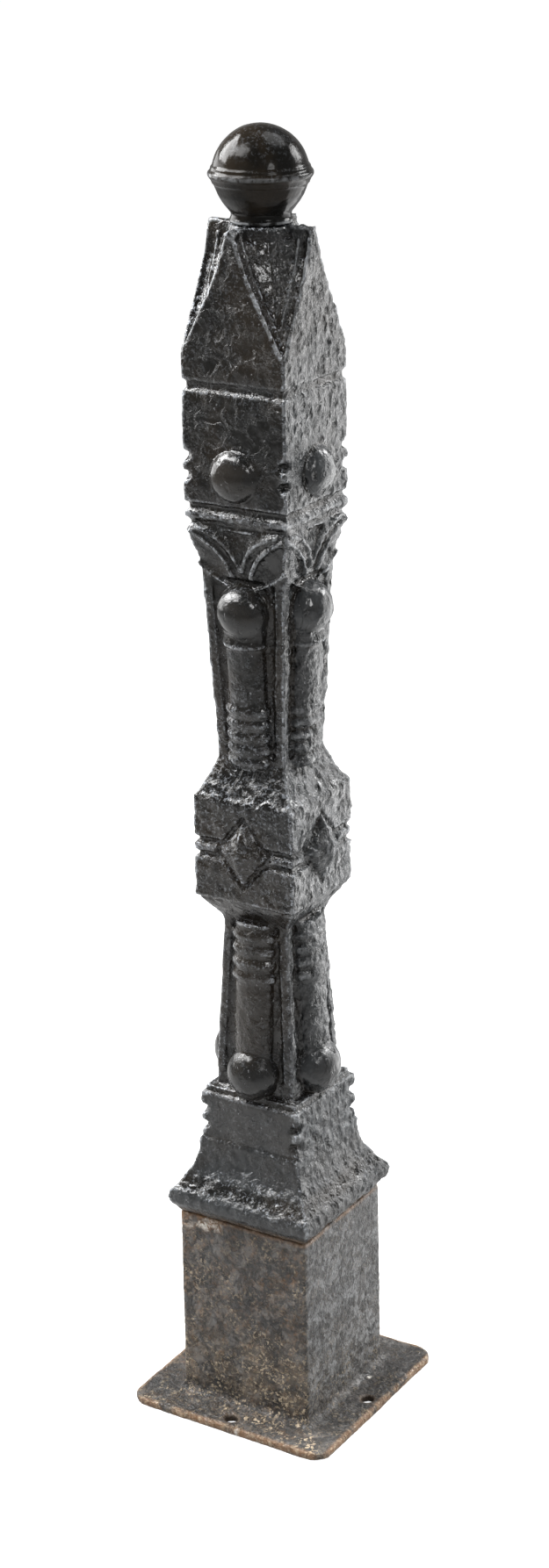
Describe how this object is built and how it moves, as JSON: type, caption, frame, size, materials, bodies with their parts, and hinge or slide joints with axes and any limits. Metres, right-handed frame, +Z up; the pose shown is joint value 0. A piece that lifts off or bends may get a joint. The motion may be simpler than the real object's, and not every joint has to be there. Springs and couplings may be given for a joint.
{
  "type": "newel post",
  "caption": "Square cast-iron newel post with a round ball finial, a gabled cap, tapered shafts with half-round colonettes, a lozenge block and a box pedestal on a flange plate.",
  "frame": {"origin": "middle of the flange plate's underside, on the floor", "axes": "+Z up along the post; -Y and +X are the normals of two of its four like sides"},
  "size_m": [0.2286, 0.2286, 1.273],
  "materials": {
    "black_enamel": "thick glossy black paint over a rough, pitted casting",
    "dull_iron": "dull dark brown-grey iron with light rust mottling"
  },
  "bodies": {
    "root": {"pedestal": "dull_iron", "post_body": "black_enamel", "ball_finial": "black_enamel"}
  },
  "joints": []
}
